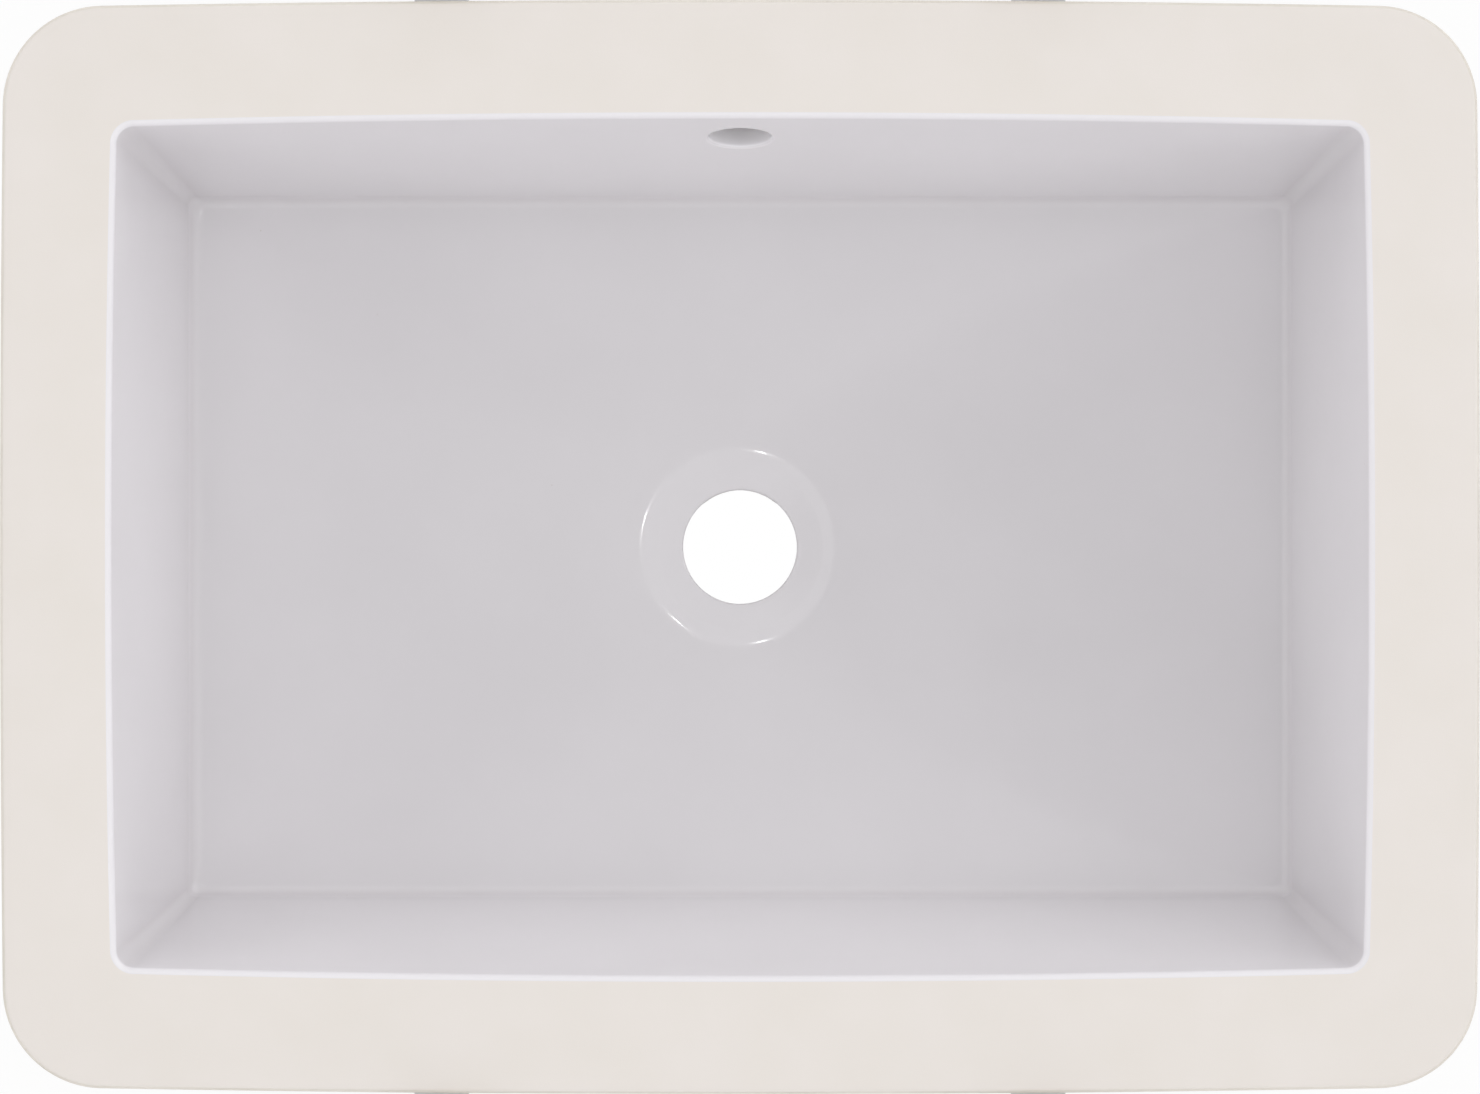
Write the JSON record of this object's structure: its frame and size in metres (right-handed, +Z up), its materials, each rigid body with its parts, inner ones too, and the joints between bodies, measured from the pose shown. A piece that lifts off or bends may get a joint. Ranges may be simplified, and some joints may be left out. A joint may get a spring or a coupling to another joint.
{
  "type": "undermount washbasin",
  "caption": "Rectangular undermount washbasin in vitreous china with gently bowed sides, open outlet, bare overflow hole and swivelling clips that hold its rim up under a counter.",
  "frame": {"origin": "middle of the basin, on the outlet's axis, in the plane of the rim's ground face, which is the counter's underside", "axes": "+X along the long side to the user's right, +Y towards the back wall with the overflow hole, +Z up"},
  "size_m": [0.595, 0.518, 0.186],
  "materials": {
    "glazed_china": "gloss",
    "bare_china": "matte",
    "brass": "satin",
    "zinc_plated_steel": "satin",
    "zinc_plated_strip": "satin",
    "zinc_casting": "satin",
    "black_rubber": "matte"
  },
  "bodies": {
    "basin": {"bowl": "glazed_china", "overflow_duct": "bare_china", "anchor_front_left": "brass", "anchor_front_right": "brass", "anchor_back_left": "brass", "anchor_back_right": "brass", "stud_front_left": "zinc_plated_steel", "stud_front_right": "zinc_plated_steel", "stud_back_left": "zinc_plated_steel", "stud_back_right": "zinc_plated_steel"},
    "washer_front_left": {"washer_front_left": "zinc_plated_steel"},
    "clip_front_left": {"clip_front_left": "zinc_plated_strip", "pad_front_left": "black_rubber"},
    "wing_nut_front_left": {"wing_nut_front_left": "zinc_casting"},
    "washer_front_right": {"washer_front_right": "zinc_plated_steel"},
    "clip_front_right": {"clip_front_right": "zinc_plated_strip", "pad_front_right": "black_rubber"},
    "wing_nut_front_right": {"wing_nut_front_right": "zinc_casting"},
    "washer_back_left": {"washer_back_left": "zinc_plated_steel"},
    "clip_back_left": {"clip_back_left": "zinc_plated_strip", "pad_back_left": "black_rubber"},
    "wing_nut_back_left": {"wing_nut_back_left": "zinc_casting"},
    "washer_back_right": {"washer_back_right": "zinc_plated_steel"},
    "clip_back_right": {"clip_back_right": "zinc_plated_strip", "pad_back_right": "black_rubber"},
    "wing_nut_back_right": {"wing_nut_back_right": "zinc_casting"}
  },
  "joints": [
    {"name": "clip_drop_front_left", "type": "slide", "parent": "basin", "child": "washer_front_left", "axis": [0, 0, -1], "range_m": [0, 0.01]},
    {"name": "clip_swivel_front_left", "type": "hinge", "parent": "washer_front_left", "child": "clip_front_left", "pos_m": [-0.12, -0.234, -0.0188], "axis": [0, 0, 1], "range_deg": [-90, 90]},
    {"name": "nut_spin_front_left", "type": "hinge", "parent": "washer_front_left", "child": "wing_nut_front_left", "pos_m": [-0.12, -0.234, -0.03], "axis": [0, 0, -1], "range_deg": [0, 3600]},
    {"name": "clip_drop_front_right", "type": "slide", "parent": "basin", "child": "washer_front_right", "axis": [0, 0, -1], "range_m": [0, 0.01]},
    {"name": "clip_swivel_front_right", "type": "hinge", "parent": "washer_front_right", "child": "clip_front_right", "pos_m": [0.12, -0.234, -0.0188], "axis": [0, 0, 1], "range_deg": [-90, 90]},
    {"name": "nut_spin_front_right", "type": "hinge", "parent": "washer_front_right", "child": "wing_nut_front_right", "pos_m": [0.12, -0.234, -0.03], "axis": [0, 0, -1], "range_deg": [0, 3600]},
    {"name": "clip_drop_back_left", "type": "slide", "parent": "basin", "child": "washer_back_left", "axis": [0, 0, -1], "range_m": [0, 0.01]},
    {"name": "clip_swivel_back_left", "type": "hinge", "parent": "washer_back_left", "child": "clip_back_left", "pos_m": [-0.12, 0.234, -0.0188], "axis": [0, 0, 1], "range_deg": [-90, 90]},
    {"name": "nut_spin_back_left", "type": "hinge", "parent": "washer_back_left", "child": "wing_nut_back_left", "pos_m": [-0.12, 0.234, -0.03], "axis": [0, 0, -1], "range_deg": [0, 3600]},
    {"name": "clip_drop_back_right", "type": "slide", "parent": "basin", "child": "washer_back_right", "axis": [0, 0, -1], "range_m": [0, 0.01]},
    {"name": "clip_swivel_back_right", "type": "hinge", "parent": "washer_back_right", "child": "clip_back_right", "pos_m": [0.12, 0.234, -0.0188], "axis": [0, 0, 1], "range_deg": [-90, 90]},
    {"name": "nut_spin_back_right", "type": "hinge", "parent": "washer_back_right", "child": "wing_nut_back_right", "pos_m": [0.12, 0.234, -0.03], "axis": [0, 0, -1], "range_deg": [0, 3600]}
  ],
  "couplings": [
    {"joint": "nut_spin_front_left", "follows": "clip_drop_front_left", "rad_per_m": 6283.2},
    {"joint": "nut_spin_front_right", "follows": "clip_drop_front_right", "rad_per_m": 6283.2},
    {"joint": "nut_spin_back_left", "follows": "clip_drop_back_left", "rad_per_m": 6283.2},
    {"joint": "nut_spin_back_right", "follows": "clip_drop_back_right", "rad_per_m": 6283.2}
  ]
}
